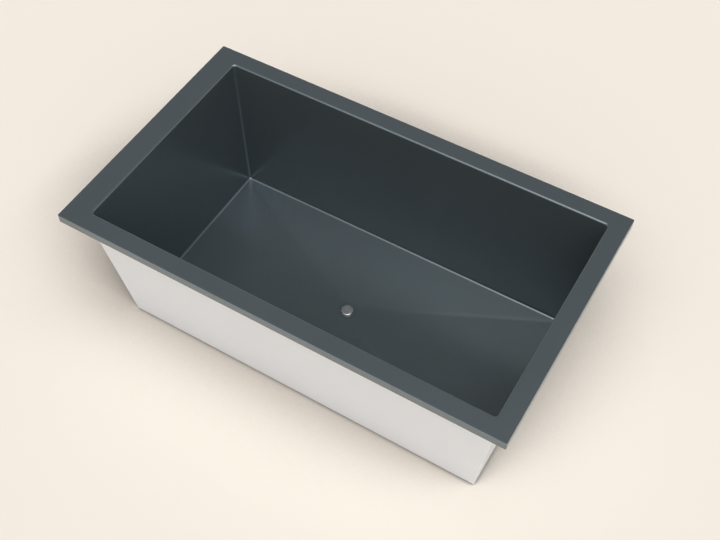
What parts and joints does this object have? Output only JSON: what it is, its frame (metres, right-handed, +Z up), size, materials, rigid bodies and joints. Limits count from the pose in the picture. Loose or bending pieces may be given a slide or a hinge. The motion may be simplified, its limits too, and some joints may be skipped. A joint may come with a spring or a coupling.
{
  "type": "soaking tub",
  "caption": "Rectangular drop-in soaking tub: dark sheet-steel well with leaning walls, flat rim and central pop-up drain, in an insulated white casing on levelling feet.",
  "frame": {"origin": "on the floor, under the middle of the rim's outline", "axes": "+X along the tub, away from the wider end of the rim; +Y from the front to the back; +Z up"},
  "size_m": [1.83, 1.06, 0.64],
  "materials": {
    "gunmetal_steel": "satin",
    "white_paint": "satin",
    "zinc_steel": "satin",
    "drain_steel": "satin",
    "plywood": "matte",
    "foam_board": "matte",
    "foot_plastic": "matte",
    "seal_rubber": "matte",
    "nylon": "satin",
    "brass_nut": "satin",
    "spring_steel": "satin"
  },
  "bodies": {
    "tub": {"base_board": "plywood", "base_screws": "zinc_steel", "basin": "gunmetal_steel", "casing_back": "white_paint", "casing_front": "white_paint", "casing_left": "white_paint", "casing_right": "white_paint", "drain_body": "gunmetal_steel", "drain_flange_seal": "seal_rubber", "drain_locknut": "brass_nut", "drain_slip_ring": "nylon", "drain_washer": "seal_rubber", "floor_bed": "foam_board", "foot_tee_nuts": "zinc_steel", "insulation_back": "foam_board", "insulation_front": "foam_board", "insulation_left": "foam_board", "insulation_right": "foam_board", "rim_core_back": "plywood", "rim_core_front": "plywood", "rim_core_left": "plywood", "rim_core_right": "plywood", "rim_screws": "zinc_steel", "seam_rivets": "white_paint", "seam_strips": "zinc_steel", "stopper_post": "brass_nut", "stopper_spring": "spring_steel"},
    "stopper": {"stopper_cap": "drain_steel", "stopper_sleeve": "drain_steel", "stopper_seal": "seal_rubber"},
    "foot_1": {"foot_1_pad": "foot_plastic"},
    "foot_1_screw": {"foot_1_stem": "zinc_steel"},
    "foot_2": {"foot_2_pad": "foot_plastic"},
    "foot_2_screw": {"foot_2_stem": "zinc_steel"},
    "foot_3": {"foot_3_pad": "foot_plastic"},
    "foot_3_screw": {"foot_3_stem": "zinc_steel"},
    "foot_4": {"foot_4_pad": "foot_plastic"},
    "foot_4_screw": {"foot_4_stem": "zinc_steel"},
    "foot_5": {"foot_5_pad": "foot_plastic"},
    "foot_5_screw": {"foot_5_stem": "zinc_steel"},
    "foot_6": {"foot_6_pad": "foot_plastic"},
    "foot_6_screw": {"foot_6_stem": "zinc_steel"}
  },
  "joints": [
    {"name": "stopper_lift", "type": "slide", "parent": "tub", "child": "stopper", "axis": [0, 0, 1], "range_m": [0, 0.01], "deforming": ["stopper_spring"]},
    {"name": "foot_1_height", "type": "slide", "parent": "tub", "child": "foot_1", "axis": [0, 0, 1], "range_m": [-0.0105, 0]},
    {"name": "foot_1_turn", "type": "hinge", "parent": "foot_1", "child": "foot_1_screw", "pos_m": [-0.635, -0.31, 0.006], "axis": [0, 0, 1], "range_deg": [0, 2160]},
    {"name": "foot_2_height", "type": "slide", "parent": "tub", "child": "foot_2", "axis": [0, 0, 1], "range_m": [-0.0105, 0]},
    {"name": "foot_2_turn", "type": "hinge", "parent": "foot_2", "child": "foot_2_screw", "pos_m": [0.015, -0.31, 0.006], "axis": [0, 0, 1], "range_deg": [0, 2160]},
    {"name": "foot_3_height", "type": "slide", "parent": "tub", "child": "foot_3", "axis": [0, 0, 1], "range_m": [-0.0105, 0]},
    {"name": "foot_3_turn", "type": "hinge", "parent": "foot_3", "child": "foot_3_screw", "pos_m": [0.665, -0.31, 0.006], "axis": [0, 0, 1], "range_deg": [0, 2160]},
    {"name": "foot_4_height", "type": "slide", "parent": "tub", "child": "foot_4", "axis": [0, 0, 1], "range_m": [-0.0105, 0]},
    {"name": "foot_4_turn", "type": "hinge", "parent": "foot_4", "child": "foot_4_screw", "pos_m": [-0.635, 0.31, 0.006], "axis": [0, 0, 1], "range_deg": [0, 2160]},
    {"name": "foot_5_height", "type": "slide", "parent": "tub", "child": "foot_5", "axis": [0, 0, 1], "range_m": [-0.0105, 0]},
    {"name": "foot_5_turn", "type": "hinge", "parent": "foot_5", "child": "foot_5_screw", "pos_m": [0.015, 0.31, 0.006], "axis": [0, 0, 1], "range_deg": [0, 2160]},
    {"name": "foot_6_height", "type": "slide", "parent": "tub", "child": "foot_6", "axis": [0, 0, 1], "range_m": [-0.0105, 0]},
    {"name": "foot_6_turn", "type": "hinge", "parent": "foot_6", "child": "foot_6_screw", "pos_m": [0.665, 0.31, 0.006], "axis": [0, 0, 1], "range_deg": [0, 2160]}
  ],
  "couplings": [
    {"joint": "foot_1_turn", "follows": "foot_1_height", "rad_per_m": -3590.4},
    {"joint": "foot_2_turn", "follows": "foot_2_height", "rad_per_m": -3590.4},
    {"joint": "foot_3_turn", "follows": "foot_3_height", "rad_per_m": -3590.4},
    {"joint": "foot_4_turn", "follows": "foot_4_height", "rad_per_m": -3590.4},
    {"joint": "foot_5_turn", "follows": "foot_5_height", "rad_per_m": -3590.4},
    {"joint": "foot_6_turn", "follows": "foot_6_height", "rad_per_m": -3590.4}
  ]
}
